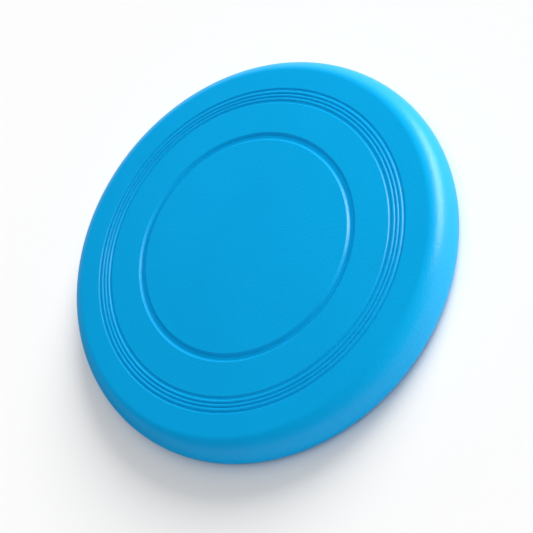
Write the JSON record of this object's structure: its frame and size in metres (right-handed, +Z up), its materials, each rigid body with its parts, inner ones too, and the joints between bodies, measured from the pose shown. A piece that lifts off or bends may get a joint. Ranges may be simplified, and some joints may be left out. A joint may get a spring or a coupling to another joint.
{
  "type": "flying disc",
  "caption": "Round flying disc with a flat grooved top, rounded shoulder and deep solid rim, hollow underneath for the fingers.",
  "frame": {"origin": "centre of the rim's bottom face, on the surface that the disc lies on", "axes": "+Z up along the disc's axis of symmetry, from the open underside to the grooved top; X and Y lie in the plane that the rim rests on and are interchangeable"},
  "size_m": [0.23, 0.23, 0.02],
  "materials": {
    "blue_plastic": "satin, fine moulded grain"
  },
  "bodies": {
    "root": {"disc_shell": "blue_plastic"}
  },
  "joints": []
}
